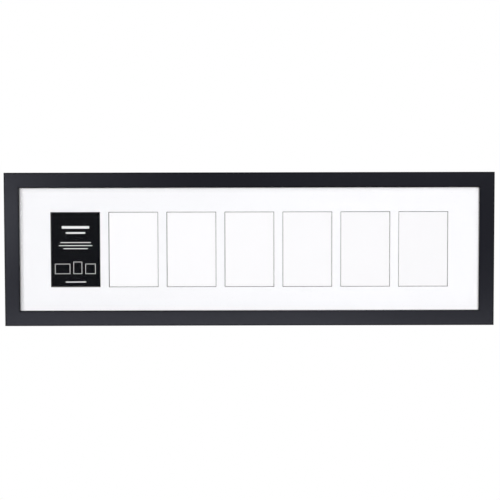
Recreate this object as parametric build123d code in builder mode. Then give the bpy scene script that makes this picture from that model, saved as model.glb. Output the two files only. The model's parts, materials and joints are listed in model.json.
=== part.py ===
from build123d import *
import math
import os

# Collage photo frame: seven portrait windows in one row, made to hang on a wall.
# Lengths are in millimetres. The origin is on the wall, behind the frame's centre.
# +X runs along the frame, +Z runs up and +Y points into the wall.
# A level is a distance from the wall towards the viewer, so it lies at minus Y.

os.makedirs("parts", exist_ok=True)

# Mat board: its windows show 4 x 6 inch prints
window_count = 7
window_width = 95.25
window_height = 146.05
window_gap = 19.05
mat_end_border = 66.675
mat_edge_border = 53.975
mat_thickness = 2.2
mat_bevel_angle = 60

# The other sheets of the stack
glass_thickness = 2.0
card_thickness = 0.3
card_overlap = 3.175
mount_thickness = 1.0
filler_thickness = 3.0
backing_thickness = 3.0
backing_corner_radius = 2.0
sheet_clearance = 1.15
settle_share = 0.87

# Moulding
face_width = 30.0
lip_cover = 6.35
lip_thickness = 10.4
backing_recess = 0.1
outer_edge_radius = 1.2
sight_edge_radius = 0.8
back_edge_chamfer = 1.0

# Steel strips driven across the mitres from behind
v_nail_leg = 5.0
v_nail_thickness = 0.5
v_nail_height = 7.0
v_nail_clearance = 0.02
v_nail_place_shares = (0.36, 0.7)

# Turn buttons that hold the backing board
long_rail_buttons = 3
button_pivot_inset = 7.5
button_width = 11.0
button_tip_width = 8.0
button_reach = 15.0
button_thickness = 1.2
button_clearance = 0.15
button_bend_radius = 0.5
button_lift = 0.8
button_lift_run = 1.8
button_tip_run = 4.5
button_hole_clearance = 0.1

# Screws that the turn buttons swing on
screw_radius = 1.5
screw_length = 12.0
screw_head_radius = 3.2
screw_head_height = 1.2
screw_head_gap = 0.1
screw_slot_span = 3.4
screw_slot_width = 0.7
screw_slot_depth = 0.8

# Sawtooth hangers on the top rail
hanger_length = 44.45
hanger_height = 9.5
hanger_thickness = 0.8
hanger_raise = 1.2
hanger_foot_length = 8.0
hanger_ramp_length = 2.4
hanger_bend_radius = 0.3
hanger_corner_radius = 2.0
hanger_place_share = 0.75
tooth_pitch = 3.0
tooth_depth = 1.7
tooth_tip_width = 0.5

# Nails that hold the hangers
nail_radius = 0.8
nail_length = 9.0
nail_head_radius = 1.7
nail_head_height = 0.55

# Round wall bumpers
bumper_radius = 5.5
bumper_end_distance = 45.0
wall_gap = 0.35

# One clearance for fasteners in the wood, and one overrun for cuts
hole_clearance = 0.02
overrun = 1.0

# Sheet sizes
window_pitch = window_width + window_gap
mat_width = window_count * window_width + (window_count - 1) * window_gap + 2 * mat_end_border
mat_height = window_height + 2 * mat_edge_border
mat_bevel = mat_thickness / math.tan(math.radians(mat_bevel_angle))
card_width = window_width + 2 * card_overlap
card_height = window_height + 2 * card_overlap

# The whole stack rests low in the rabbet, so it lies below the frame's centre
stack_z = -settle_share * sheet_clearance

# Moulding sizes
sight_width = mat_width - 2 * lip_cover
sight_height = mat_height - 2 * lip_cover
frame_width = sight_width + 2 * face_width
frame_height = sight_height + 2 * face_width
wing_width = face_width - lip_cover - sheet_clearance

# Levels, from the wall out to the viewer
bumper_height = (
    button_clearance + button_thickness + screw_head_gap + screw_head_height + wall_gap
)
back_level = bumper_height
button_level = back_level - button_clearance
screw_head_level = button_level - button_thickness - screw_head_gap
backing_level = back_level + backing_recess
filler_level = backing_level + backing_thickness
mount_level = filler_level + filler_thickness
card_level = mount_level + mount_thickness
mat_level = card_level + card_thickness
glass_level = mat_level + mat_thickness
rabbet_level = glass_level + glass_thickness
front_level = rabbet_level + lip_thickness

# Places along the rails
button_pitch = mat_width / long_rail_buttons
hanger_distance = hanger_place_share * button_pitch
pivot_x = frame_width / 2 - wing_width + button_pivot_inset
pivot_z = frame_height / 2 - wing_width + button_pivot_inset
hanger_z = frame_height / 2 - wing_width / 2
bumper_x = frame_width / 2 - bumper_end_distance
bumper_z = frame_height / 2 - wing_width / 2
nail_distance = hanger_length / 2 - hanger_foot_length / 2

to_wall = Vector(0, 1, 0)
rail_sides = {
    "top": Vector(0, 0, 1),
    "bottom": Vector(0, 0, -1),
    "left": Vector(-1, 0, 0),
    "right": Vector(1, 0, 0),
}


def long_rail_pivots(height):
    """Places of the turn buttons along a long rail, from left to right."""
    first = -(long_rail_buttons - 1) / 2
    return [((first + step) * button_pitch, height) for step in range(long_rail_buttons)]


rail_pivots = {
    "top": long_rail_pivots(pivot_z),
    "bottom": long_rail_pivots(-pivot_z),
    "left": [(-pivot_x, 0)],
    "right": [(pivot_x, 0)],
}
hanger_centres = {"left": (-hanger_distance, hanger_z), "right": (hanger_distance, hanger_z)}
nail_places = [
    (x + side * nail_distance, z) for x, z in hanger_centres.values() for side in (-1, 1)
]
bumper_centres = {
    "top_left": (-bumper_x, bumper_z),
    "top_right": (bumper_x, bumper_z),
    "bottom_left": (-bumper_x, -bumper_z),
    "bottom_right": (bumper_x, -bumper_z),
}


def finish(piece, name):
    """Label a finished piece and write it to its own file."""
    piece.part.label = name
    export_step(piece.part, f"parts/{name}.step")


# V nails: two across each mitre, each with one leg in each rail
def v_nail_outlines(growth):
    """Draw the outlines of all V nails, grown all round, in the open sketch."""
    corners = ((1, 1, 180), (-1, 1, 270), (-1, -1, 0), (1, -1, 90))
    leg = v_nail_leg + 2 * growth
    thickness = v_nail_thickness + 2 * growth
    for side_x, side_z, turn in corners:
        for share in v_nail_place_shares:
            inset = share * wing_width
            x = side_x * (frame_width / 2 - inset)
            z = side_z * (frame_height / 2 - inset)
            with Locations(Location((x, z), turn)):
                with Locations((-thickness / 2, 0)):
                    Rectangle(leg, thickness, align=(Align.MIN, Align.CENTER))
                with Locations((0, -thickness / 2)):
                    Rectangle(thickness, leg, align=(Align.CENTER, Align.MIN))


with BuildPart() as corner_v_nails:
    with BuildSketch(Plane.XZ.offset(back_level)):
        v_nail_outlines(0)
    extrude(amount=v_nail_height)
finish(corner_v_nails, "corner_v_nails")


# Rails: one moulding profile, mitred at both ends
def moulding_rail(side):
    """One rail, with its rabbet, its mitres and the holes of its fasteners."""
    outward = rail_sides[side]
    along = outward.cross(to_wall)
    long_rail = outward.X == 0
    half_reach = (frame_height if long_rail else frame_width) / 2
    half_length = (frame_width if long_rail else frame_height) / 2
    section_plane = Plane(origin=outward * half_reach, x_dir=-outward, z_dir=along)
    with BuildPart() as rail:
        with BuildSketch(section_plane):
            with BuildLine():
                Polyline(
                    (0, back_level),
                    (wing_width, back_level),
                    (wing_width, rabbet_level),
                    (face_width, rabbet_level),
                    (face_width, front_level),
                    (0, front_level),
                    close=True,
                )
            make_face()
            front_corners = vertices().group_by(Axis.Y)[-1].sort_by(Axis.X)
            back_corners = vertices().group_by(Axis.Y)[0].sort_by(Axis.X)
            fillet(front_corners[0], radius=outer_edge_radius)
            fillet(front_corners[-1], radius=sight_edge_radius)
            chamfer(back_corners[0], length=back_edge_chamfer)
        extrude(amount=half_length, both=True)
        for end in (-1, 1):
            corner = outward * half_reach + along * end * half_length
            split(bisect_by=Plane(origin=corner, z_dir=along * end - outward), keep=Keep.BOTTOM)
        with BuildSketch(Plane.XZ.offset(back_level)):
            v_nail_outlines(v_nail_clearance)
        extrude(amount=v_nail_height, mode=Mode.SUBTRACT)
        with BuildSketch(Plane.XZ.offset(back_level)):
            with Locations(*rail_pivots[side]):
                Circle(screw_radius + hole_clearance)
        extrude(amount=screw_length, mode=Mode.SUBTRACT)
        if side == "top":
            with BuildSketch(Plane.XZ.offset(back_level)):
                with Locations(*nail_places):
                    Circle(nail_radius + hole_clearance)
            extrude(amount=nail_length, mode=Mode.SUBTRACT)
    return rail


for side in rail_sides:
    finish(moulding_rail(side), f"{side}_rail")


# Sheets of the stack, from the glass back to the hardboard
def plain_sheet(level, width, height, thickness, corner_radius=0):
    """A flat rectangular sheet whose back lies at the given level."""
    with BuildPart() as sheet:
        with BuildSketch(Plane.XZ.offset(level)):
            with Locations((0, stack_z)):
                if corner_radius:
                    RectangleRounded(width, height, corner_radius)
                else:
                    Rectangle(width, height)
        extrude(amount=thickness)
    return sheet


finish(plain_sheet(glass_level, mat_width, mat_height, glass_thickness), "glass_pane")
finish(plain_sheet(mount_level, mat_width, mat_height, mount_thickness), "mount_board")
finish(plain_sheet(filler_level, mat_width, mat_height, filler_thickness), "filler_pad")
finish(
    plain_sheet(backing_level, mat_width, mat_height, backing_thickness, backing_corner_radius),
    "backing_board",
)

# Mat board: each window widens towards the glass along its bevel
with BuildPart() as mat_board:
    with BuildSketch(Plane.XZ.offset(mat_level)):
        with Locations((0, stack_z)):
            Rectangle(mat_width, mat_height)
    extrude(amount=mat_thickness)
    for step in range(window_count):
        window_x = (step - (window_count - 1) / 2) * window_pitch
        with BuildSketch(Plane.XZ.offset(mat_level)):
            with Locations((window_x, stack_z)):
                Rectangle(window_width, window_height)
        with BuildSketch(Plane.XZ.offset(glass_level)):
            with Locations((window_x, stack_z)):
                Rectangle(window_width + 2 * mat_bevel, window_height + 2 * mat_bevel)
        loft(ruled=True, mode=Mode.SUBTRACT)
finish(mat_board, "mat_board")

# Insert card behind the first window, on the left
with BuildPart() as insert_card:
    with BuildSketch(Plane.XZ.offset(card_level)):
        with Locations((-(window_count - 1) / 2 * window_pitch, stack_z)):
            Rectangle(card_width, card_height)
    extrude(amount=card_thickness)
finish(insert_card, "insert_card")


# Turn buttons: stamped tongues, each on its own screw, that swing over the backing board
def turn_button(place, inward):
    """One tongue, with a pivot hole and a lifted tip for a fingertip."""
    pivot = Vector(place[0], -button_level, place[1])
    across = inward.cross(to_wall)
    tip_end = button_reach + button_tip_width / 2
    lift_start = tip_end - button_tip_run
    with BuildPart() as button:
        with BuildSketch(Plane(origin=pivot, x_dir=inward, z_dir=across)):
            with BuildLine():
                FilletPolyline(
                    (-button_width, 0),
                    (lift_start, 0),
                    (lift_start + button_lift_run, button_lift),
                    (tip_end + overrun, button_lift),
                    radius=button_bend_radius + button_thickness,
                )
                offset(amount=button_thickness, side=Side.LEFT)
            make_face()
        extrude(amount=button_width, both=True)
        with BuildSketch(Plane(origin=pivot, x_dir=across, z_dir=to_wall)):
            Circle(button_width / 2)
            with Locations((0, button_reach)):
                Circle(button_tip_width / 2)
            make_hull()
            Circle(screw_radius + button_hole_clearance, mode=Mode.SUBTRACT)
        extrude(amount=button_thickness + button_lift + overrun, mode=Mode.INTERSECT)
    return button


button_names = {
    "top": [f"top_{step + 1}" for step in range(long_rail_buttons)],
    "bottom": [f"bottom_{step + 1}" for step in range(long_rail_buttons)],
    "left": ["left"],
    "right": ["right"],
}
for side, places in rail_pivots.items():
    for name, place in zip(button_names[side], places):
        finish(turn_button(place, -rail_sides[side]), f"turn_button_{name}")


# Screws and nails: turned about an axis that points into the wall
def fastener(head_radius, head_height, radius, length):
    """Half a flat head and a shank, spun about the fastener's own axis."""
    with BuildPart() as turned:
        with BuildSketch(Plane.XY):
            with BuildLine():
                Polyline(
                    (0, head_height),
                    (0, -length),
                    (radius, -length),
                    (radius, 0),
                    (head_radius, 0),
                    (head_radius, head_height),
                    close=True,
                )
            make_face()
        revolve(axis=Axis.Y)
    return turned


def copies(piece, places, level):
    """The same fastener at several places on the back, seated at one level."""
    with BuildPart() as group:
        with Locations(*[(x, -level, z) for x, z in places]):
            add(piece.part)
    return group


screw = fastener(screw_head_radius, screw_head_height, screw_radius, screw_length)
screw_places = [place for places in rail_pivots.values() for place in places]
with BuildPart() as turn_button_screws:
    add(copies(screw, screw_places, screw_head_level).part)
    with BuildSketch(Plane.XZ.offset(screw_head_level - screw_head_height)):
        with Locations(*screw_places):
            Rectangle(screw_slot_span, screw_slot_width)
            Rectangle(screw_slot_width, screw_slot_span)
    extrude(amount=screw_slot_depth, mode=Mode.SUBTRACT)
finish(turn_button_screws, "turn_button_screws")

nail = fastener(nail_head_radius, nail_head_height, nail_radius, nail_length)
finish(copies(nail, nail_places, back_level - hanger_thickness), "hanger_nails")


# Sawtooth hangers: a bowed strip, nailed at both feet, with teeth along its lower edge
def sawtooth_hanger(centre):
    """One hanger, seated on the back of the top rail."""
    seat = Vector(centre[0], -back_level, centre[1])
    end = hanger_length / 2
    ramp_foot = end - hanger_foot_length
    ramp_top = ramp_foot - hanger_ramp_length
    tooth_count = math.floor(2 * ramp_top / tooth_pitch)
    notch = (tooth_pitch - tooth_tip_width) / 2
    with BuildPart() as hanger:
        with BuildSketch(Plane(origin=seat, x_dir=(1, 0, 0), z_dir=(0, 0, 1))):
            with BuildLine():
                FilletPolyline(
                    (-end, 0),
                    (-ramp_foot, 0),
                    (-ramp_top, hanger_raise),
                    (ramp_top, hanger_raise),
                    (ramp_foot, 0),
                    (end, 0),
                    radius=hanger_bend_radius + hanger_thickness,
                )
                offset(amount=hanger_thickness, side=Side.LEFT)
            make_face()
        extrude(amount=hanger_height / 2, both=True)
        upright_edges = edges().filter_by(Axis.Y).group_by(Axis.X)
        fillet(upright_edges[0] + upright_edges[-1], radius=hanger_corner_radius)
        with BuildSketch(Plane.XZ.offset(back_level)):
            with Locations((centre[0], centre[1] - hanger_height / 2)):
                with GridLocations(tooth_pitch, tooth_pitch, tooth_count, 1):
                    Polygon(
                        (-notch, 0),
                        (-notch, -overrun),
                        (notch, -overrun),
                        (notch, 0),
                        (0, tooth_depth),
                        align=None,
                    )
        extrude(amount=-(hanger_raise + hanger_thickness + overrun), mode=Mode.SUBTRACT)
        with BuildSketch(Plane.XZ.offset(back_level)):
            with Locations(*nail_places):
                Circle(nail_radius + hole_clearance)
        extrude(amount=-(hanger_thickness + overrun), mode=Mode.SUBTRACT)
    return hanger


for side, centre in hanger_centres.items():
    finish(sawtooth_hanger(centre), f"sawtooth_hanger_{side}")

# Wall bumpers near the corners of the back
for corner, centre in bumper_centres.items():
    with BuildPart() as wall_bumper:
        with BuildSketch(Plane.XZ):
            with Locations(centre):
                Circle(bumper_radius)
        extrude(amount=bumper_height)
    finish(wall_bumper, f"wall_bumper_{corner}")
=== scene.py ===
# %% [markdown]
# # A collage photo frame in its finishes
# The CAD model already holds every rigid form of this frame: four mitred rails, the glass, the
# mat with its seven windows, the boards behind it and the steel parts on the back. This lesson
# loads that model as a fixed frame, sets up a camera and soft light, gives each surface a
# finish made of nodes, and models the small stamped and turned parts again with softer edges.

# %% Load the fixed frame
import json
import math
import random

import bmesh
import bpy
from mathutils import Matrix, Vector

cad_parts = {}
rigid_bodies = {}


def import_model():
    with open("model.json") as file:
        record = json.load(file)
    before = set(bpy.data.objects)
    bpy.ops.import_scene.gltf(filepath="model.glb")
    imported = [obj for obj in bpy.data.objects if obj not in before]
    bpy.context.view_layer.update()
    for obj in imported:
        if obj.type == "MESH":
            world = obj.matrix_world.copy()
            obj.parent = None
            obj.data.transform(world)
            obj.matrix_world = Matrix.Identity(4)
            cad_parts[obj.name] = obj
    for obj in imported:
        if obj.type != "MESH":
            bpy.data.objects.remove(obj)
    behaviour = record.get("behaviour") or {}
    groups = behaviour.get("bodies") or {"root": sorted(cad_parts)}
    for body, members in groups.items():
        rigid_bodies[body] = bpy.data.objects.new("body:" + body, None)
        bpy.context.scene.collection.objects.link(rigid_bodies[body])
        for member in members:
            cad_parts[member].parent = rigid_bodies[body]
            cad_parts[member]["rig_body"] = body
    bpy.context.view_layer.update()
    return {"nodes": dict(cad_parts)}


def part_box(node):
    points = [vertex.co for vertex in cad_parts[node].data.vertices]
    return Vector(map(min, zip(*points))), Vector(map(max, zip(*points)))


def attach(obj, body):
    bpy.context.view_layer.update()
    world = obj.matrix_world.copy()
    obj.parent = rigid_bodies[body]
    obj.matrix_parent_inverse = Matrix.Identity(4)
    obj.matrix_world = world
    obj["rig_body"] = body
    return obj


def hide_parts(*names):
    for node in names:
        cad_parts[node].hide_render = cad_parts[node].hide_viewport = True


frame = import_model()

nodes = frame["nodes"]

# %% [markdown]
# ## Sizes
# A finish has to know where the edges of the moulding are, because the lacquer, the rubbed
# edges and the bare back start and stop there. The CAD boxes give those places, so nothing is
# typed twice. Lengths in the finishes are in millimetres, which are easier to read than metres.

# %% Read the sizes from the CAD boxes
MM = 0.001
rail_low, rail_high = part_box("bottom_rail")
side_low, side_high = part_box("left_rail")
half_width = rail_high.x / MM
half_height = side_high.z / MM
sight_half_width = -side_high.x / MM
sight_half_height = -rail_high.z / MM
front_y = rail_low.y / MM
back_y = rail_high.y / MM
mat_front_y, mat_back_y = (corner.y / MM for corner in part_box("mat_board"))
mat_middle_z = sum(corner.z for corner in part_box("mat_board")) / 2 / MM
window_height = 146.05
window_foot, window_top = (mat_middle_z + side * window_height / 2 for side in (-1, 1))
rabbet_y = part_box("glass_pane")[0].y / MM
print("outer", 2 * half_width, "x", 2 * half_height, "mm, front at", front_y, "mm")

# %% [markdown]
# ## Camera
# The picture was taken from a little above the middle of the frame with a long lens. The
# camera's place, tilt and focal length come from a fit of the frame's edges, and are given
# here as a place and three angles. A camera looks down its own -Z, so it is first turned up by
# a quarter turn about X to look along +Y.

# %% Make the camera
camera_place = Vector((-0.006, -2.551, 0.13))
camera_yaw, camera_pitch, camera_roll = (math.radians(a) for a in (-0.1615, -2.9837, 0.1189))
camera_data = bpy.data.cameras.new("camera")
camera_data.lens = 92.79
camera = bpy.data.objects.new("camera", camera_data)
bpy.context.scene.collection.objects.link(camera)
camera.matrix_world = (
    Matrix.Translation(camera_place)
    @ Matrix.Rotation(camera_yaw, 4, "Z")
    @ Matrix.Rotation(camera_pitch, 4, "X")
    @ Matrix.Rotation(camera_roll, 4, "Y")
    @ Matrix.Rotation(math.pi / 2, 4, "X")
)
bpy.context.scene.camera = camera
bpy.context.scene.view_settings.view_transform = "Standard"
print("camera at", tuple(camera_place), "lens", camera_data.lens)

# %% [markdown]
# ## Sums of sockets
# Finishes are easier to read as sums than as boxes and wires. A Wire stands for one output
# socket, and each operator on it adds a Math node. The reflected operators are there too, so
# that a number may stand on the left, as in 1 - mask.


# %% Define Wire
class Wire:
    """An output socket with arithmetic: every operator adds one Math node."""

    def __init__(self, owner, socket):
        self.owner = owner
        self.socket = socket

    def maths(self, operation, *values):
        return self.owner.node("ShaderNodeMath", {"operation": operation}, dict(enumerate(values)))

    def __add__(self, other):
        return self.maths("ADD", self, other)

    def __radd__(self, other):
        return self.maths("ADD", other, self)

    def __sub__(self, other):
        return self.maths("SUBTRACT", self, other)

    def __rsub__(self, other):
        return self.maths("SUBTRACT", other, self)

    def __mul__(self, other):
        return self.maths("MULTIPLY", self, other)

    def __rmul__(self, other):
        return self.maths("MULTIPLY", other, self)

    def __abs__(self):
        return self.maths("ABSOLUTE", self)

    def low(self, other):
        return self.maths("MINIMUM", self, other)

    def high(self, other):
        return self.maths("MAXIMUM", self, other)

    def sine(self):
        return self.maths("SINE", self)

    def goes(self, start, end):
        """0 up to start, 1 from end on, with a soft step between; start may be above end."""
        return self.owner.node(
            "ShaderNodeMapRange", {"interpolation_type": "SMOOTHSTEP"}, {0: self, 1: start, 2: end}
        )

    def spread(self, low, high):
        """Takes 0 to 1 over to low to high."""
        return self * (high - low) + low


# %% [markdown]
# ## One method for every node
# A node is told by its type, its settings, which are set first, and the values or links of its
# sockets. The world and every finish add their nodes by this one method.


# %% Define Nodes
class Nodes:
    """A node tree whose nodes are all added by one method."""

    def __init__(self, tree):
        self.tree = tree
        tree.nodes.clear()

    def node(self, kind, settings=None, sockets=None, output=0):
        made = self.tree.nodes.new(kind)
        for name, value in (settings or {}).items():
            if name == "stops":
                self.set_stops(made.color_ramp, value)
            else:
                setattr(made, name, value)
        for name, value in (sockets or {}).items():
            if isinstance(value, Wire):
                self.tree.links.new(value.socket, made.inputs[name])
            else:
                made.inputs[name].default_value = value
        return Wire(self, made.outputs[output] if len(made.outputs) else None)

    def set_stops(self, ramp, stops):
        while len(ramp.elements) < len(stops):
            ramp.elements.new(1.0)
        for element, (place, colour) in zip(ramp.elements, stops):
            element.position = place
            element.color = (*colour, 1.0)


# %% [markdown]
# ## A finish
# A Finish is one material. Its patterns read Object coordinates, which here are the frame's own
# metres, so they stay put on every piece and have their real size. Its methods name what a
# maker would ask for: a cloudy noise of some size, a tint laid over a colour, a relief.


# %% Define Finish
class Finish(Nodes):
    """One material on Object coordinates, with x, y and z in millimetres."""

    def __init__(self, name):
        self.material = bpy.data.materials.new(name)
        self.material.use_nodes = True
        super().__init__(self.material.node_tree)
        self.place = self.node("ShaderNodeTexCoord", output="Object")
        axes = [self.node("ShaderNodeSeparateXYZ", {}, {0: self.place}, axis) for axis in range(3)]
        self.x, self.y, self.z = [axis * 1000 for axis in axes]

    def stretched(self, size, stretch):
        """Object coordinates in units of size mm, drawn out along the axes by stretch."""
        scale = tuple(1 / (size * MM * longer) for longer in stretch)
        return self.node(
            "ShaderNodeVectorMath", {"operation": "MULTIPLY"}, {0: self.place, 1: scale}
        )

    def noise(self, size, detail=2.0, roughness=0.5, stretch=(1, 1, 1)):
        """Cloudy values round 0.5 with features of about size mm."""
        return self.node(
            "ShaderNodeTexNoise",
            {},
            {
                "Vector": self.stretched(size, stretch),
                "Scale": 1.0,
                "Detail": detail,
                "Roughness": roughness,
            },
        )

    def cells(self, size, stretch=(1, 1, 1), feature="F1", output="Distance"):
        return self.node(
            "ShaderNodeTexVoronoi",
            {"feature": feature},
            {"Vector": self.stretched(size, stretch), "Scale": 1.0},
            output,
        )

    def ramp(self, wire, *stops):
        return self.node("ShaderNodeValToRGB", {"stops": stops}, {0: wire})

    def tint(self, mask, under, over):
        """The colour under, with the colour over laid on it where mask is 1."""
        colours = [c if isinstance(c, Wire) else (*c, 1.0) for c in (under, over)]
        return self.node(
            "ShaderNodeMix",
            {"data_type": "RGBA"},
            {0: mask, 6: colours[0], 7: colours[1]},
            output=2,
        )

    def shade(self, colour, low, high, wire):
        """The colour, darkened or lightened by wire between low and high times itself."""
        dim, bright = [tuple(channel * level for channel in colour) for level in (low, high)]
        return self.tint(wire, dim, bright)

    def bump(self, height, depth, under=None):
        """Turns height from 0 to 1 into a relief of depth mm."""
        sockets = {"Height": height, "Strength": 1.0, "Distance": depth * MM}
        if under is not None:
            sockets["Normal"] = under
        return self.node("ShaderNodeBump", {}, sockets)

    def surface(self, colour, roughness, **more):
        sockets = {"Base Color": colour, "Roughness": roughness}
        sockets.update({name.replace("_", " ").title(): value for name, value in more.items()})
        for name in [name for name in sockets if "Ior" in name]:
            sockets[name.replace("Ior", "IOR")] = sockets.pop(name)
        return self.node("ShaderNodeBsdfPrincipled", {}, sockets)

    def over(self, mask, under, top):
        """The shader under, with the shader top showing where mask is 1."""
        return self.node("ShaderNodeMixShader", {}, {0: mask, 1: under, 2: top})

    def show(self, shader):
        self.node("ShaderNodeOutputMaterial", {}, {"Surface": shader})
        print("finish", self.material.name, "with", len(self.tree.nodes), "nodes")
        return self.material


# %% [markdown]
# ## Dressing a CAD node
# The CAD nodes keep their meshes and their places. Only their material slots are filled again.


# %% Define wear
def wear(material, *names):
    """Puts a finish on CAD nodes, whose meshes stay as they are."""
    for name in names:
        for slot in nodes[name].material_slots:
            slot.material = material


# %% [markdown]
# ## Soft light
# The lip of a flat frame draws each lamp's place on the mat, because its shadow falls away from
# the lamp. Four soft boxes stand far in front, so that the long mat is lit evenly: one near the
# camera, the strongest to the left of it, one to the right and a weaker high one. They are kept
# out of mirror rays, as a polarising filter does, so they leave no glare on the glass. A few
# reflector cards do the opposite: they show only as sheen, and give the left and lower rails
# their softer black. Two wide boxes light the back, and a card there puts glints on the steel.
# The world is plain white for camera, glossy and see-through rays, so the background is white
# and glass and steel mirror that white, and it gives only a faint even fill to everything else.

# %% Whiten the world
world = bpy.data.worlds.new("studio")
world.use_nodes = True
bpy.context.scene.world = world
studio = Nodes(world.node_tree)
camera_ray, glossy_ray, clear_ray = [
    studio.node("ShaderNodeLightPath", output=name)
    for name in ("Is Camera Ray", "Is Glossy Ray", "Is Transmission Ray")
]
fill_level = 0.03
seen = camera_ray.high(glossy_ray).high(clear_ray)
level = seen.spread(fill_level, 1.0)
background = studio.node("ShaderNodeBackground", {}, {"Color": (1, 1, 1, 1), "Strength": level})
studio.node("ShaderNodeOutputWorld", {}, {"Surface": background})
print("world level for the fill", fill_level)


# %% Define a soft box
def soft_box(name, place, aim, width, height, radiance, lights=True, shines=True):
    """A rectangular light of that radiance, turned to face aim."""
    lamp = bpy.data.lights.new(name, "AREA")
    lamp.shape = "RECTANGLE"
    lamp.size = width
    lamp.size_y = height
    lamp.energy = radiance * math.pi * width * height
    holder = bpy.data.objects.new(name, lamp)
    bpy.context.scene.collection.objects.link(holder)
    facing = (Vector(aim) - Vector(place)).to_track_quat("-Z", "Y")
    holder.matrix_world = Matrix.Translation(place) @ facing.to_matrix().to_4x4()
    holder.visible_camera = False
    holder.visible_diffuse = lights
    holder.visible_glossy = shines
    print("light", name, "power", round(lamp.energy, 1), "W")


# %% Hang the boxes and cards
middle = (0, 0, 0)
soft_box("middle_box", (-0.9, -6.0, 0.35), middle, 1.0, 1.0, 33.0, shines=False)
soft_box("left_box", (-2.9, -5.9, 0.95), middle, 1.0, 1.0, 42.0, shines=False)
soft_box("right_box", (1.0, -6.0, 0.3), middle, 1.0, 1.0, 38.5, shines=False)
soft_box("high_box", (0.2, -6.0, 3.2), middle, 1.0, 1.0, 17.5, shines=False)
soft_box("left_card", (-1.19, -3.0, 0.0), middle, 0.45, 0.35, 10.5, lights=False)
soft_box("upper_left_card", (-0.71, -3.0, 0.37), middle, 0.4, 0.3, 4.6, lights=False)
soft_box("upper_right_card", (0.86, -3.0, 0.42), middle, 1.2, 0.3, 2.2, lights=False)
soft_box("low_card", (-0.29, -3.0, -0.74), middle, 1.9, 0.45, 10.0, lights=False)
soft_box("low_right_card", (1.01, -3.0, -0.75), middle, 0.6, 0.40, 9.5, lights=False)
soft_box("back_left_box", (-1.2, 3.2, 1.0), middle, 2.2, 1.6, 6.4, shines=False)
soft_box("back_right_box", (1.6, 3.0, 0.6), middle, 2.0, 1.6, 5.0, shines=False)
soft_box("back_card", (0.5, 3.0, 1.2), middle, 1.2, 0.6, 3.4, lights=False)

# %% [markdown]
# ## Floor
# The frame hangs at the height of a wall picture, so its floor is far below it and takes only
# a faint wide shadow. The floor is a round pale disc, lifted towards the white of the background
# where it is looked at or mirrored, and wholly white at its rim, so it has no visible edge. For
# the light that bounces off it, it is a plain grey, which keeps the light on the frame even.

# %% Lay the floor
floor_drop = 1.45
floor_radius = 3.8
floor_mesh = bpy.data.meshes.new("floor")
work = bmesh.new()
bmesh.ops.create_circle(work, cap_ends=True, segments=96, radius=floor_radius)
bmesh.ops.translate(work, verts=work.verts, vec=(0, 0, -floor_drop))
work.to_mesh(floor_mesh)
work.free()
floor = bpy.data.objects.new("floor", floor_mesh)
bpy.context.scene.collection.objects.link(floor)

paint = Finish("pale_floor")
squares = paint.x * paint.x + paint.y * paint.y
from_middle = squares.maths("SQRT", squares)
paint_mottle = paint.noise(180, detail=3)
pale = paint.shade((0.86, 0.86, 0.87), 0.985, 1.015, paint_mottle)
by_camera, by_gloss, by_clear = [
    paint.node("ShaderNodeLightPath", output=name)
    for name in ("Is Camera Ray", "Is Glossy Ray", "Is Transmission Ray")
]
looked_at = by_camera.high(by_gloss).high(by_clear)
matt = paint.surface(paint.tint(looked_at, (0.18, 0.18, 0.18), pale), 0.9, specular_ior_level=0.1)
lit = paint.node("ShaderNodeEmission", {}, {"Color": (1, 1, 1, 1), "Strength": 1.0})
rim = from_middle.goes(1000 * floor_radius * 0.25, 1000 * floor_radius * 0.9)
floor_mesh.materials.append(paint.show(paint.over(rim.spread(0.55, 1.0) * looked_at, matt, lit)))
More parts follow.
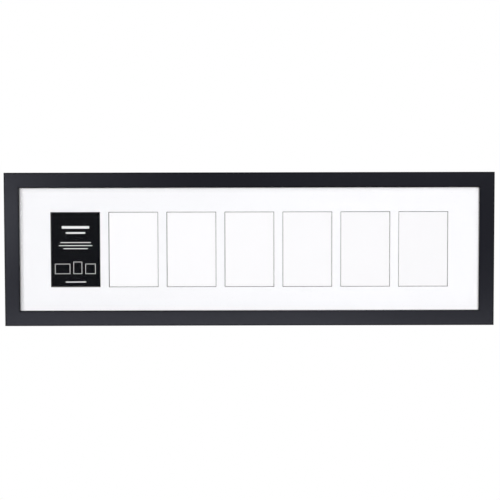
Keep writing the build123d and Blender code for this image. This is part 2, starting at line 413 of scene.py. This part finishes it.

# %% [markdown]
# ## Black lacquer on the rails
# The moulding is a strip of fibre board wrapped in black film and sealed with satin lacquer,
# so its face shows a faint grain along its length and a soft sheen. Along the outer and inner
# edges a darker, duller band is painted as painted shade, for the line of shade where the
# rounded edges turn from the light; real handling marks and a dark mitre seam lie in it. The
# outer walls are duller than the face. Behind, the wrap is turned over the edge by about 4 mm
# and the bare board shows inside it. One function makes the finish, because the grain of the
# side rails runs up and that of the other two runs across. Masks come from the distance to the
# outer edge and to the sight opening, which makes them the same on all four rails.


# %% Mix the rail finish
def rail_finish(name, stretch):
    film = Finish(name)
    from_edge = (half_width - abs(film.x)).low(half_height - abs(film.z))
    from_sight = (abs(film.x) - sight_half_width).high(abs(film.z) - sight_half_height)
    from_front = film.y - front_y
    grain = film.noise(0.5, detail=4, roughness=0.6, stretch=stretch)
    cloud = film.noise(60, detail=2)
    handling = film.noise(9, detail=5, roughness=0.65)

    # Painted shade: a darker, duller band along the outer edges and round the sight opening, plus
    # the real dark mitre seam.
    outer_rim_shade = from_edge.high(from_front).goes(3.6, 1.0) * 0.75
    inner_rim_shade = from_sight.high(from_front).goes(3.4, 1.2)
    from_mitre = abs((half_width - abs(film.x)) - (half_height - abs(film.z)))
    mitre = from_mitre.goes(0.30, 0.08)
    rim_shade_and_mitre = outer_rim_shade.high(inner_rim_shade).high(mitre * 0.6)
    lip_wall = from_sight.goes(0.12, 0.04) * from_front.goes(0.8, 1.4)

    tone = film.tint(grain.goes(0.35, 0.7), (0.0026, 0.0027, 0.0052), (0.0036, 0.0037, 0.0068))
    tone = film.tint(cloud * 0.15, tone, (0.0048, 0.0050, 0.0080))
    roughness = grain.spread(0.16, 0.21) + handling * 0.04
    relief = film.bump(grain, 0.012)
    relief = film.bump(film.noise(2.4, detail=3), 0.008, relief)
    satin = film.surface(
        tone,
        roughness,
        specular_ior_level=0.13,
        specular_tint=(0.86, 0.88, 1.0, 1.0),
        coat_weight=lip_wall,
        coat_roughness=0.2,
        coat_ior=1.5,
        normal=relief,
    )

    # The painted shade of the edge band, with real lighter handling marks in it.
    rubbed_and_shaded_tone = film.tint(
        handling.goes(0.62, 0.8), (0.0018, 0.0018, 0.0026), (0.010, 0.010, 0.012)
    )
    rubbed_and_shaded = film.surface(rubbed_and_shaded_tone, 0.62, specular_ior_level=0.05, normal=relief)
    faced = film.over(rim_shade_and_mitre * 0.85, satin, rubbed_and_shaded)
    outer_wall = from_edge.goes(0.5, 0.2) * from_front.goes(0.6, 1.6)
    dull = film.surface(
        tone,
        grain.spread(0.46, 0.56),
        specular_ior_level=0.1,
        specular_tint=(0.86, 0.88, 1.0, 1.0),
        normal=relief,
    )
    faced = film.over(outer_wall, faced, dull)

    along = tuple(max(1, longer / 10) for longer in stretch)
    fibre = film.noise(0.8, detail=5, roughness=0.7, stretch=along)
    chips = film.cells(1.6, along, output="Color")
    board = film.tint(fibre.goes(0.3, 0.75), (0.31, 0.21, 0.125), (0.47, 0.345, 0.22))
    board = film.tint(chips * 0.22, board, (0.22, 0.135, 0.07))
    board = film.tint(mitre * 0.7, board, (0.09, 0.06, 0.04))
    soiled = film.tint(handling.goes(0.55, 0.8) * 0.3, board, (0.16, 0.11, 0.07))
    raw_relief = film.bump(fibre, 0.08)
    raw = film.surface(
        soiled, handling.spread(0.72, 0.9), specular_ior_level=0.2, normal=raw_relief
    )
    wrap_end = film.y + (handling - 0.5) * 0.25
    turned_over = (from_edge + (handling - 0.5) * 1.2).goes(4.2, 4.35)
    bare = wrap_end.goes(back_y - 0.22, back_y - 0.06) * turned_over
    in_rabbet = film.y.goes(rabbet_y - 0.15, rabbet_y - 0.05) * from_edge.goes(1.5, 3.0)
    sawn = from_mitre.goes(0.02, 0.005) * from_front.low(from_edge).low(from_sight).goes(0.15, 0.4)
    return film.show(film.over(bare.high(in_rabbet).high(sawn), faced, raw))


wear(rail_finish("black_lacquer_across", (60, 1, 1)), "top_rail", "bottom_rail")
wear(rail_finish("black_lacquer_upright", (1, 1, 60)), "left_rail", "right_rail")

# %% [markdown]
# ## Glass
# A Principled glass would need caustics before any light reached the mat behind it, so a flat
# pane is better made of two shaders: a clear Transparent one, and a mirror that grows at low
# angles. The Fresnel node turns its index round on the way out of a solid, and since Transparent
# does not bend a ray, the pane would shut like a mirror when seen from far above. So the growth
# is written out from the Facing output of Layer Weight, as its fifth power, and only the front
# of the pane mirrors. The pane is coated against glare, so it mirrors little when seen squarely.
# Very faint wiping marks change how much. The cut rim, hidden in the rabbet, is ground sea green.

# %% Mix the glass
pane = Finish("clear_pane")
wiping = pane.noise(26, detail=4, roughness=0.6, stretch=(3, 1, 1))
film_dust = pane.noise(1.3, detail=2)
clear = pane.node("ShaderNodeBsdfTransparent", {}, {"Color": (0.997, 0.998, 0.997, 1.0)})
mirror = pane.node("ShaderNodeBsdfGlossy", {}, {"Color": (0.96, 0.98, 1.0, 1.0), "Roughness": 0.03})
facing = pane.node("ShaderNodeLayerWeight", {}, {"Blend": 0.5}, "Facing")
squared = facing * facing
glare = (squared * squared * facing).spread(0.005, 0.9)
front_face = pane.y.goes(rabbet_y + 0.3, rabbet_y + 0.1)
share = glare * (wiping.spread(0.85, 1.1) + film_dust * 0.05) * front_face
pane_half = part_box("glass_pane")[1].x / MM
pane_top, pane_foot = (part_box("glass_pane")[end].z / MM for end in (1, 0))
from_rim = (pane_half - abs(pane.x)).low((pane.z - pane_foot).low(pane_top - pane.z))
ground = pane.noise(0.6, detail=3)
rim_glass = pane.surface(
    pane.tint(ground, (0.10, 0.20, 0.16), (0.20, 0.34, 0.28)), 0.35, specular_ior_level=0.5
)
faced_pane = pane.over(share, clear, mirror)
wear(pane.show(pane.over(from_rim.goes(0.03, 0.01), faced_pane, rim_glass)), "glass_pane")

# %% [markdown]
# ## White mat
# Mat board is a smooth white facing paper on a pale core. The facing has a fine tooth and the
# very slight clouding of pulp. The core shows only on the slanting bevels round the windows, so
# it is picked by depth: everything between the facing and the lining paper on the back is core.
# It gets the fine ridges that a blade leaves. The core is painted dark grey, as painted shade for
# the bevels.
#
# The paper is painted a touch greyer towards the left end of the row and a touch lighter towards
# the right, as painted shade and light, and the core is painted clearly darker at the left as
# painted shade, so both follow x a little. The sills of the windows face up and get a lighter
# tone as painted light, and the heads face down and get a darker tone as painted shade.

# %% Mix the mat board
mat = Finish("mat_board_paper")
tooth = mat.noise(0.45, detail=3, roughness=0.6)
pulp = mat.noise(45, detail=3)
strands = mat.noise(1.1, detail=2, stretch=(4, 4, 1))
along = mat.x.goes(-sight_half_width, sight_half_width)
# Painted shade and light: the facing darkens towards the left end and lightens towards the right.
facing = mat.shade((0.918, 0.915, 0.94), 0.962, 1.045, pulp * 0.15 + along * 0.85)
facing = mat.tint(strands.goes(0.6, 0.85) * 0.12, facing, (0.89, 0.89, 0.90))
fleck = mat.noise(0.5, detail=3)
# Painted shade: the core is painted dark grey, darker towards the left end, with random flecks.
core_fleck_and_painted_shade = fleck * 0.25 + along * 0.75
core = mat.tint(core_fleck_and_painted_shade * core_fleck_and_painted_shade, (0.058, 0.056, 0.057), (0.31, 0.30, 0.305))
corner_blur = 0.3
# Painted shade on the window heads, which face down, and painted light on the sills, which face up.
painted_head_shade = mat.z.goes(window_top - corner_blur, window_top)
painted_sill_light = mat.z.goes(window_foot + corner_blur, window_foot)
core = mat.tint(painted_head_shade * 0.85, core, (0.113, 0.11, 0.111))
core = mat.tint(painted_sill_light * 0.85, core, (0.252, 0.24, 0.244))
cut = mat.y.goes(mat_front_y + 0.01, mat_front_y + 0.06)
lining = mat.tint(strands, (0.74, 0.72, 0.66), (0.82, 0.80, 0.74))
lined = mat.y.goes(mat_back_y - 0.12, mat_back_y - 0.08)
blade = mat.noise(0.35, detail=2, stretch=(1, 12, 1))
mat_relief = mat.bump(tooth + cut * (blade - tooth), 0.02)
mat_paper = mat.surface(
    mat.tint(lined, mat.tint(cut, facing, core), lining),
    pulp.spread(0.78, 0.88),
    specular_ior_level=0.12,
    normal=mat_relief,
)
wear(mat.show(mat_paper), "mat_board")

# %% [markdown]
# ## White mounting board
# Behind six windows lies a plain white board. It is a touch warmer than the mat and a little
# smoother, so that the windows still read as separate sheets.

# %% Mix the mounting board
mount = Finish("mount_board_paper")
mount_pulp = mount.noise(38, detail=3)
mount_tooth = mount.noise(0.6, detail=3, roughness=0.55)
mount_white = mount.shade((0.935, 0.925, 0.945), 0.992, 1.006, mount_pulp)
mount_relief = mount.bump(mount_tooth, 0.015)
mount_paper = mount.surface(
    mount_white, mount_pulp.spread(0.7, 0.8), specular_ior_level=0.12, normal=mount_relief
)
wear(mount.show(mount_paper), "mount_board")

# %% [markdown]
# ## Black insert card
# The first window holds the printed card such frames are sold with. This one carries only
# plain marks: a bar for a heading, a few thin rules, and small outlines of a square, an upright
# and a wide picture. Each mark is a mask of distances from its own middle, so the edges stay
# crisp at any size, and the paper below is matt black with a fine tooth.

# %% Print the card
card = Finish("black_card_print")
card_low, card_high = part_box("insert_card")
card_x, _, card_z = (card_low + card_high) / 2 / MM
ink_edge = 0.08


def block(across, up, width, height):
    """A filled rectangle, in mm from the card's middle."""
    sideways = abs(card.x - (card_x + across)).goes(width / 2 + ink_edge, width / 2 - ink_edge)
    upwards = abs(card.z - (card_z + up)).goes(height / 2 + ink_edge, height / 2 - ink_edge)
    return sideways * upwards


def outline(across, up, width, height, line):
    """A rectangle's outline of that line width."""
    inside = block(across, up, width - 2 * line, height - 2 * line)
    return block(across, up, width, height) * (1 - inside)


marks = [
    outline(-26, -38, 30, 20, 0.8),
    outline(4, -36, 17, 24, 0.8),
    outline(29, -38, 20, 20, 0.8),
    block(0, 44, 54, 5.0),
    block(0, 33, 38, 3.2),
    block(0, 14, 60, 1.5),
    block(0, 8, 66, 1.5),
    block(0, 2, 48, 1.5),
    block(0, -64, 40, 1.8),
]
printed = marks[0]
for mark in marks[1:]:
    printed = printed.high(mark)
card_tooth = card.noise(0.5, detail=3)
ink_wash = card.noise(14, detail=3)
black = card.tint(ink_wash, (0.0008, 0.0010, 0.0020), (0.0020, 0.0022, 0.0034))
white = card.tint(card_tooth, (0.80, 0.80, 0.80), (0.88, 0.88, 0.88))
card_relief = card.bump(card_tooth, 0.01)
unprinted = card.y.goes(card_low.y / MM + 0.05, card_low.y / MM + 0.1)
card_paper = card.surface(
    card.tint(printed.high(unprinted), black, white),
    card_tooth.spread(0.6, 0.75),
    specular_ior_level=0.03,
    normal=card_relief,
)
wear(card.show(card_paper), "insert_card")

# %% [markdown]
# ## Filler pad and backing board
# The filler is unbleached corrugated board, a brown paper with long fibres. The flutes are glued
# to the flat liners along their crests, and press through them as soft stripes. The backing is
# smooth brown hardboard, pressed from steamed fibres, with dark specks, a slow mottle and the
# faint print of the press.

# %% Mix the two boards
kraft = Finish("kraft_corrugated")
flute = (kraft.x * (2 * math.pi / 6.5)).sine().spread(0.5, 1.0)
kraft_fibre = kraft.noise(0.8, detail=4, roughness=0.65, stretch=(1, 1, 6))
kraft_tone = kraft.tint(kraft_fibre.goes(0.3, 0.75), (0.33, 0.22, 0.125), (0.47, 0.335, 0.205))
kraft_tone = kraft.tint(flute * 0.12, kraft_tone, (0.25, 0.16, 0.09))
kraft_relief = kraft.bump(kraft_fibre, 0.03, kraft.bump(flute, 0.05))
kraft_paper = kraft.surface(
    kraft_tone, kraft_fibre.spread(0.75, 0.9), specular_ior_level=0.2, normal=kraft_relief
)
kraft_material = kraft.show(kraft_paper)

hard = Finish("brown_hardboard")
fibres = hard.noise(1.2, detail=6, roughness=0.7, stretch=(2.2, 1, 1))
mottle = hard.noise(24, detail=4, roughness=0.6)
flecks = hard.noise(0.9, detail=2, stretch=(2.5, 1, 1)).goes(0.66, 0.74)
press = (hard.x * (2 * math.pi / 1.4)).sine() * (hard.z * (2 * math.pi / 1.4)).sine()
hard_tone = hard.tint(fibres.goes(0.3, 0.72), (0.115, 0.058, 0.028), (0.225, 0.125, 0.064))
hard_tone = hard.tint(mottle.goes(0.35, 0.75) * 0.35, hard_tone, (0.27, 0.16, 0.085))
hard_tone = hard.tint(flecks * 0.6, hard_tone, (0.055, 0.028, 0.014))
scuffs = hard.noise(5, detail=5, roughness=0.7, stretch=(9, 1, 1)).goes(0.62, 0.72)
hard_tone = hard.tint(scuffs * 0.18, hard_tone, (0.33, 0.22, 0.14))
hard_relief = hard.bump(fibres, 0.03, hard.bump(press, 0.012))
hardboard = hard.surface(
    hard_tone, mottle.spread(0.42, 0.58) + scuffs * 0.1, specular_ior_level=0.4, normal=hard_relief
)
wear(hard.show(hardboard), "backing_board")

# %% [markdown]
# ## Zinc plate
# The stamped and turned steel is zinc plated: bright, with a slight blue and straw clouding
# from the passivation bath, fine scratches from tumbling, and a duller look where fingers and
# a screwdriver have been.

# %% Mix the zinc plate
zinc = Finish("bright_zinc_plate")
bath = zinc.noise(7, detail=3)
tumble = zinc.noise(0.22, detail=4, roughness=0.7, stretch=(7, 1, 1))
cross_tumble = zinc.noise(0.25, detail=3, roughness=0.7, stretch=(1, 1, 8))
spots = zinc.noise(1.1, detail=4, roughness=0.6)
zinc_tone = zinc.ramp(
    bath,
    (0.30, (0.36, 0.39, 0.43)),
    (0.48, (0.43, 0.435, 0.44)),
    (0.62, (0.47, 0.45, 0.40)),
    (0.75, (0.39, 0.40, 0.42)),
)
zinc_tone = zinc.tint(spots.goes(0.55, 0.75) * 0.45, zinc_tone, (0.20, 0.20, 0.20))
zinc_roughness = spots.spread(0.24, 0.42) + tumble * 0.08
zinc_relief = zinc.bump(tumble, 0.012, zinc.bump(cross_tumble, 0.010))
zinc_plate = zinc.surface(zinc_tone, zinc_roughness, metallic=1.0, normal=zinc_relief)
zinc_material = zinc.show(zinc_plate)

strip = Finish("rolled_nail_strip")
rolling = strip.noise(0.3, detail=4, roughness=0.7, stretch=(1, 6, 1))
strip_tone = strip.tint(rolling.goes(0.3, 0.75), (0.25, 0.255, 0.27), (0.40, 0.40, 0.39))
strip_steel = strip.surface(
    strip_tone, rolling.spread(0.35, 0.55), metallic=1.0, normal=strip.bump(rolling, 0.008)
)
wear(strip.show(strip_steel), "corner_v_nails")

# %% [markdown]
# ## Black rubber
# The wall bumpers are soft black rubber: a dull gloss that shows their round shoulder, a fine
# pebble from the mould and a little pale dust.

# %% Mix the rubber
rubber = Finish("bumper_rubber")
pebble = rubber.noise(0.35, detail=3, roughness=0.6)
dust = rubber.noise(2.2, detail=5, roughness=0.7)
rubber_tone = rubber.tint(dust.goes(0.55, 0.8) * 0.4, (0.022, 0.022, 0.023), (0.09, 0.087, 0.082))
rubber_relief = rubber.bump(pebble, 0.03)
rubber_skin = rubber.surface(
    rubber_tone, dust.spread(0.42, 0.62), specular_ior_level=0.5, normal=rubber_relief
)
rubber_material = rubber.show(rubber_skin)

# %% [markdown]
# ## Finishing a modelled piece
# Each new piece is one mesh with its place in its vertices. The helper below writes a bmesh to
# an object with its material, marks edges over 35 degrees as sharp and shades the rest smooth,
# puts it on the body of the CAD node it stands for and hides that node.


# %% Define the helpers for modelled pieces
def to_piece(work, name, node, material):
    """Writes a bmesh to a piece that stands for a CAD node and rides on its body."""
    mesh = bpy.data.meshes.new(name)
    work.to_mesh(mesh)
    work.free()
    mesh.materials.append(material)
    mesh.shade_smooth()
    mesh.set_sharp_from_angle(angle=math.radians(35))
    piece = bpy.data.objects.new(name, mesh)
    bpy.context.scene.collection.objects.link(piece)
    body = nodes[node]["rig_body"]
    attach(piece, body)
    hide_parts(node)
    print("piece", name, "faces", len(mesh.polygons), "on", body)
    return piece


def round_over(work, edges, offset, segments):
    """Rounds edges over with the bevel operator."""
    bmesh.ops.bevel(
        work,
        geom=edges,
        offset=offset,
        offset_type="OFFSET",
        segments=segments,
        profile=0.5,
        affect="EDGES",
        clamp_overlap=True,
        material=-1,
    )


def folded_edges(work, angle):
    """The edges where two faces meet at more than angle degrees."""
    return [e for e in work.edges if e.is_manifold and e.calc_face_angle() > math.radians(angle)]


# %% [markdown]
# ## Corrugated filler
# The filler pad is three papers: a wavy one glued between two flat liners. The wave is a grid of
# one row whose points are moved by a sine, so it is smooth from flute to flute; the solidify
# operator then gives it the thickness of paper. The liners are flat boxes on either side of it.

# %% Glue up the filler
filler_low, filler_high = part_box("filler_pad")
span = filler_high - filler_low
centre = (filler_low + filler_high) / 2
liner, fluting, flute_pitch = 0.35 * MM, 0.25 * MM, 6.5 * MM
crest = (span.y - fluting) / 2 - liner

filler = bmesh.new()
bmesh.ops.create_grid(filler, x_segments=8 * round(span.x / flute_pitch), y_segments=1, size=0.5)
bmesh.ops.scale(filler, verts=filler.verts, vec=(span.x - MM, span.z - MM, 1))
upright = Matrix.Rotation(math.pi / 2, 3, "X")
bmesh.ops.rotate(filler, verts=filler.verts, cent=(0, 0, 0), matrix=upright)
for vert in filler.verts:
    vert.co.y = crest * math.sin(2 * math.pi * vert.co.x / flute_pitch) + fluting / 2
bmesh.ops.solidify(filler, geom=filler.faces, thickness=fluting)
bmesh.ops.recalc_face_normals(filler, faces=filler.faces)
for y in (liner / 2 - span.y / 2, span.y / 2 - liner / 2):
    flat = Matrix.Translation((0, y, 0)) @ Matrix.Diagonal((span.x, liner, span.z, 1))
    bmesh.ops.create_cube(filler, size=1, matrix=flat)
bmesh.ops.translate(filler, verts=filler.verts, vec=centre)
to_piece(filler, "corrugated_filler", "filler_pad", kraft_material)

# %% [markdown]
# ## Turned parts
# Screws, nails and bumpers are all turned about an axis that points at the wall. A few points
# give half the outline, the spin operator turns it, and the bevel operator rounds the rim of
# the head. Doubled points at the start and on the axis are merged before the normals are made
# to point outwards.


# %% Turn a profile
def turned(profile, steps):
    """Spins points of (radius, y) in mm about the Y axis to a closed bmesh."""
    work = bmesh.new()
    points = [work.verts.new((radius * MM, y * MM, 0)) for radius, y in profile]
    lines = [work.edges.new(pair) for pair in zip(points, points[1:])]
    bmesh.ops.spin(
        work,
        geom=points + lines,
        cent=(0, 0, 0),
        axis=(0, 1, 0),
        angle=2 * math.pi,
        steps=steps,
        use_merge=True,
    )
    bmesh.ops.remove_doubles(work, verts=work.verts, dist=0.001 * MM)
    bmesh.ops.recalc_face_normals(work, faces=work.faces)
    return work


def rim_edges(work, radius, y):
    """The ring of edges at that radius and y, in mm."""
    def on_ring(vert):
        away = math.hypot(vert.co.x, vert.co.z) / MM
        return abs(away - radius) < 0.01 and abs(vert.co.y / MM - y) < 0.01
    return [e for e in work.edges if all(on_ring(v) for v in e.verts)]


def set_out(work, places, turns):
    """Copies a bmesh from the origin to each (x, z) in mm, turned about its axis."""
    pattern = list(work.verts) + list(work.edges) + list(work.faces)
    for (x, z), turn in zip(places, turns):
        made = bmesh.ops.duplicate(work, geom=pattern)["geom"]
        verts = [g for g in made if isinstance(g, bmesh.types.BMVert)]
        place = Matrix.Translation((x * MM, 0, z * MM)) @ Matrix.Rotation(turn, 4, "Y")
        bmesh.ops.transform(work, verts=verts, matrix=place)
    first = [g for g in pattern if isinstance(g, bmesh.types.BMVert)]
    bmesh.ops.delete(work, geom=first, context="VERTS")
    return work


# %% [markdown]
# ## Screws of the turn buttons
# Each screw has a low rounded head over the button and a shank with a short point in the rail.
# Only half its outline is written down, from the crown of the head to the tip.

# %% Turn a screw
screw_head = 3.2
screw_crown, screw_seat, screw_tip = -0.35, -1.55, -13.55
screw = turned(
    [
        (0, screw_crown),
        (screw_head, screw_crown),
        (screw_head, screw_seat),
        (1.5, screw_seat),
        (1.5, -11.6),
        (0, screw_tip),
    ],
    steps=48,
)
round_over(screw, rim_edges(screw, screw_head, screw_crown), 0.95, 6)
print("screw faces", len(screw.faces))

# %% [markdown]
# ## Cross recess
# The recess for the driver is cut with a Boolean, because its arms cross the rings of the head.
# The tool is a small cube whose four sides are drawn out into arms, narrower at the bottom.

# %% Shape the tool
recess_length, recess_width, recess_depth = 3.4, 0.75, 0.8
cutter = bmesh.new()
bmesh.ops.create_cube(cutter, size=recess_width * MM)
sides = [f for f in cutter.faces if abs(f.normal.y) < 0.5]
arms = bmesh.ops.extrude_discrete_faces(cutter, faces=sides)["faces"]
for arm in arms:
    arm_length = arm.normal * (recess_length - recess_width) / 2 * MM
    bmesh.ops.translate(cutter, verts=arm.verts, vec=arm_length)
bmesh.ops.scale(cutter, verts=cutter.verts, vec=(1, 2 * recess_depth / recess_width, 1))
floor_verts = [v for v in cutter.verts if v.co.y < 0]
bmesh.ops.scale(cutter, verts=floor_verts, vec=(0.6, 1, 0.6))
bmesh.ops.translate(cutter, verts=cutter.verts, vec=(0, screw_crown * MM, 0))
bmesh.ops.remove_doubles(cutter, verts=cutter.verts, dist=0.001 * MM)
bmesh.ops.recalc_face_normals(cutter, faces=cutter.faces)
print("tool faces", len(cutter.faces))


# %% Cut the recess
def cut_away(work, tool):
    """Cuts one closed bmesh out of another with the Boolean modifier."""
    made = []
    for name, part in (("blank", work), ("tool", tool)):
        mesh = bpy.data.meshes.new(name)
        part.to_mesh(mesh)
        part.free()
        thing = bpy.data.objects.new(name, mesh)
        bpy.context.scene.collection.objects.link(thing)
        made.append(thing)
    blank, tool_thing = made
    cut = blank.modifiers.new("recess", "BOOLEAN")
    cut.operation = "DIFFERENCE"
    cut.solver = "EXACT"
    cut.object = tool_thing
    bpy.context.view_layer.update()
    evaluated = blank.evaluated_get(bpy.context.evaluated_depsgraph_get())
    result = bpy.data.meshes.new_from_object(evaluated)
    done = bmesh.new()
    done.from_mesh(result)
    for thing in made:
        bpy.data.objects.remove(thing)
    bpy.data.meshes.remove(result)
    return done


screw = cut_away(screw, cutter)
print("screw faces with its recess", len(screw.faces))

# %% [markdown]
# ## Setting the screws out
# A button's pivot lies at the middle of its round outer end, so it is found from the button's
# box and the side of the frame that it stands on. The screws stand at slightly different turns,
# as they do when they are driven by hand; the seed keeps those turns the same in every run.

# %% Set the screws out
random.seed(7)
button_names = [name for name in nodes if name.startswith("turn_button_")]
button_names.remove("turn_button_screws")
round_end = 5.5
outward = {"top": (0, 1), "bottom": (0, -1), "left": (-1, 0), "right": (1, 0)}
pivots = []
for name in button_names:
    low, high = (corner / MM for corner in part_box(name))
    out_x, out_z = outward[name.split("_")[2]]
    x = {-1: low.x + round_end, 0: (low.x + high.x) / 2, 1: high.x - round_end}[out_x]
    z = {-1: low.z + round_end, 0: (low.z + high.z) / 2, 1: high.z - round_end}[out_z]
    pivots.append((x, z))
turns = [random.uniform(0, math.pi / 2) for place in pivots]
set_out(screw, pivots, turns)
to_piece(screw, "cross_recess_screws", "turn_button_screws", zinc_material)

# %% [markdown]
# ## Turn buttons
# A turn button is stamped from sheet steel: a tongue with a rounded outline, a lifted tip for
# a fingertip and a rib pressed along it. The CAD mesh has the outline and the lift, so a copy
# of it is merged, its flat faces are joined and its sheared edges are rounded. The rib is the
# upper half of a stretched sphere, closed underneath and sunk a little into the plate.


# %% Define the softened copy
def softened(node, offset, segments, angle=30):
    """A merged copy of a CAD node with its folded edges rounded over."""
    work = bmesh.new()
    work.from_mesh(nodes[node].data)
    bmesh.ops.remove_doubles(work, verts=work.verts, dist=0.001 * MM)
    bmesh.ops.dissolve_limit(
        work, angle_limit=math.radians(1), verts=work.verts, edges=work.edges, delimit={"NORMAL"}
    )
    round_over(work, folded_edges(work, angle), offset, segments)
    return work


# %% Press the turn buttons
rib_length, rib_width, rib_height = 8.0, 2.6, 0.45
rib_start = 4.6
for name, (x, z) in zip(button_names, pivots):
    button = softened(name, 0.18 * MM, 2)
    low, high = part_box(name)
    tip = Vector((low.x + high.x - 2 * x * MM, 0, low.z + high.z - 2 * z * MM)).normalized()
    plate_y = low.y + 1.2 * MM
    rib = bmesh.ops.create_uvsphere(button, u_segments=24, v_segments=16, radius=0.5)["verts"]
    across = tip.cross(Vector((0, 1, 0)))
    size = Matrix.Diagonal((rib_width * MM, 2 * rib_height * MM, rib_length * MM, 1))
    turn = Matrix((across, Vector((0, 1, 0)), tip)).transposed().to_4x4()
    middle = Vector((x * MM, plate_y, z * MM)) + tip * (rib_start + rib_length / 2) * MM
    bmesh.ops.transform(button, verts=rib, matrix=Matrix.Translation(middle) @ turn @ size)
    rib_faces = list({f for v in rib for f in v.link_faces})
    rib_edges = list({e for v in rib for e in v.link_edges})
    cut = bmesh.ops.bisect_plane(
        button,
        geom=rib + rib_edges + rib_faces,
        plane_co=(0, plate_y - 0.15 * MM, 0),
        plane_no=(0, 1, 0),
        clear_inner=True,
    )["geom_cut"]
    bmesh.ops.edgeloop_fill(button, edges=[g for g in cut if isinstance(g, bmesh.types.BMEdge)])
    to_piece(button, name + "_stamped", name, zinc_material)

# %% [markdown]
# ## Sawtooth hangers
# A hanger is a thin strip with a raised middle and teeth along its lower edge, so that a nail
# finds a notch. The copy of the CAD mesh gets slightly rounded edges, which catch the light
# along the teeth. Its four nails are turned with low domed heads.

# %% Make the hangers and their nails
for side in ("left", "right"):
    node = "sawtooth_hanger_" + side
    hanger = softened(node, 0.10 * MM, 2)
    to_piece(hanger, "toothed_hanger_" + side, node, zinc_material)

nail_head, nail_crown, nail_seat, nail_tip = 1.7, -1.65, -2.2, -11.2
nail = turned(
    [
        (0, nail_crown),
        (nail_head, nail_crown),
        (nail_head, nail_seat),
        (0.8, nail_seat),
        (0.8, -10.2),
        (0, nail_tip),
    ],
    steps=32,
)
round_over(nail, rim_edges(nail, nail_head, nail_crown), 0.35, 4)
nail_places = []
nail_inset = 4.0
for side in ("left", "right"):
    low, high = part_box("sawtooth_hanger_" + side)
    middle_z = (low.z + high.z) / 2 / MM
    for x in (low.x / MM + nail_inset, high.x / MM - nail_inset):
        nail_places.append((x, middle_z))
set_out(nail, nail_places, [0.0] * len(nail_places))
to_piece(nail, "domed_hanger_nails", "hanger_nails", zinc_material)

# %% [markdown]
# ## Wall bumpers
# Each bumper is a small cushion of rubber: a round pad with a wide rounded shoulder and a thin
# skirt where it is stuck to the rail. A turned profile with two bevelled rings gives it.

# %% Make the bumpers
for corner in ("top_left", "top_right", "bottom_left", "bottom_right"):
    node = "wall_bumper_" + corner
    low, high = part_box(node)
    middle = (low + high) / 2
    skirt = (high.x - low.x) / 2 / MM
    pad = skirt - 0.7
    skirt_y = back_y + 0.7
    bumper = turned(
        [(0, 0), (pad, 0), (pad, skirt_y), (skirt, skirt_y), (skirt, back_y), (0, back_y)], steps=64
    )
    round_over(bumper, rim_edges(bumper, pad, 0), 1.5, 6)
    round_over(bumper, rim_edges(bumper, skirt, skirt_y), 0.25, 3)
    set_out(bumper, [(middle.x / MM, middle.z / MM)], [0.0])
    to_piece(bumper, "rubber_bumper_" + corner, node, rubber_material)
